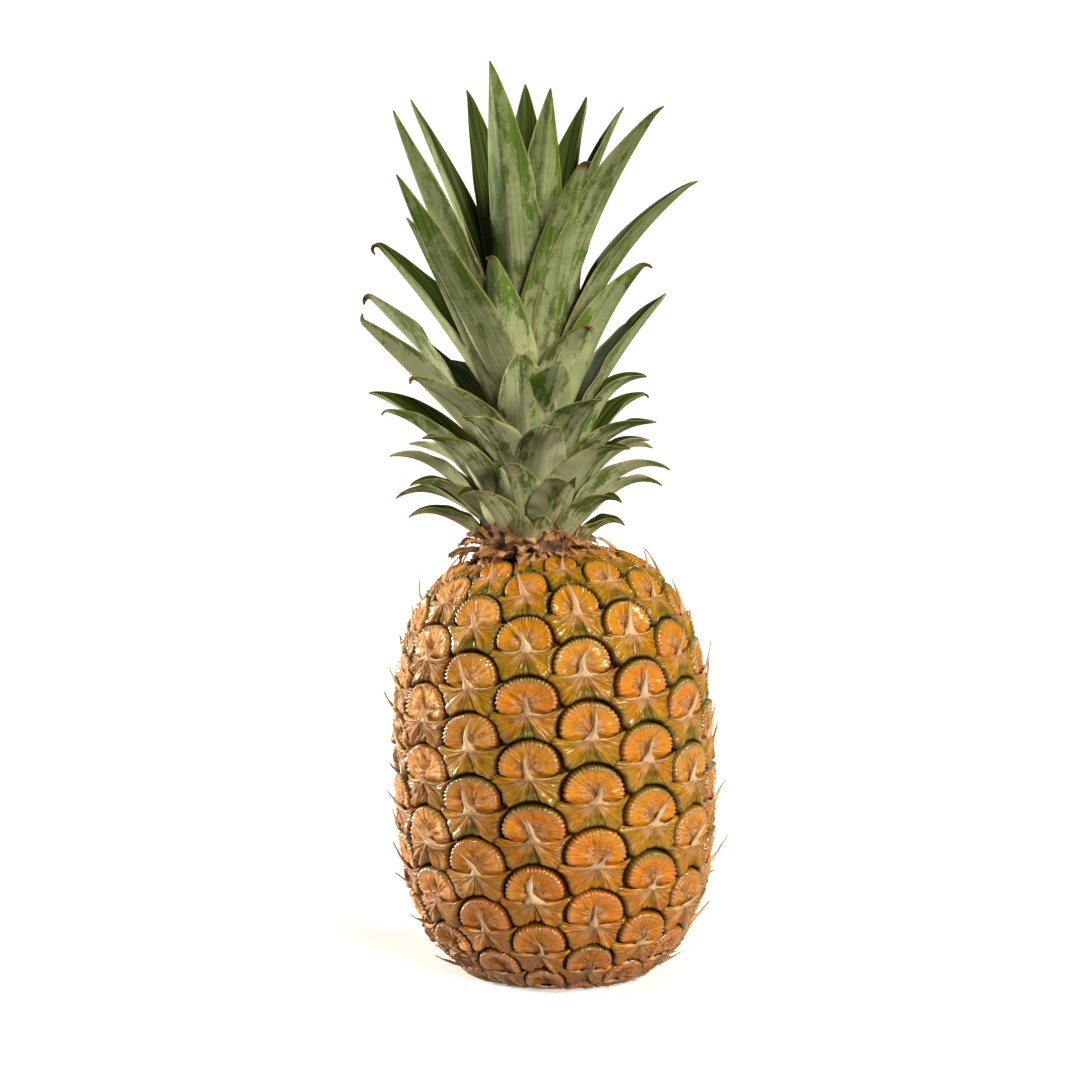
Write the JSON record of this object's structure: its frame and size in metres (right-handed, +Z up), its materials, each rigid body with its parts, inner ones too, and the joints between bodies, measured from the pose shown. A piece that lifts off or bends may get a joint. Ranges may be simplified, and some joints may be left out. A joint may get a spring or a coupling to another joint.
{
  "type": "pineapple",
  "caption": "Whole ripe pineapple standing on its base, with raised eyes in spiral rows, dry bract tips and a tall leafy crown.",
  "frame": {"origin": "centre of the cut stalk's face, on the surface that the fruit stands on", "axes": "+Z up along the fruit towards its crown, -Y towards the side that the picture shows"},
  "size_m": [0.1384, 0.1273, 0.3372],
  "materials": {
    "rind": "semi-gloss",
    "leaf": "satin",
    "stalk": "matt"
  },
  "bodies": {
    "root": {"fruit": "rind", "crown": "leaf", "stalk": "stalk"}
  },
  "joints": []
}
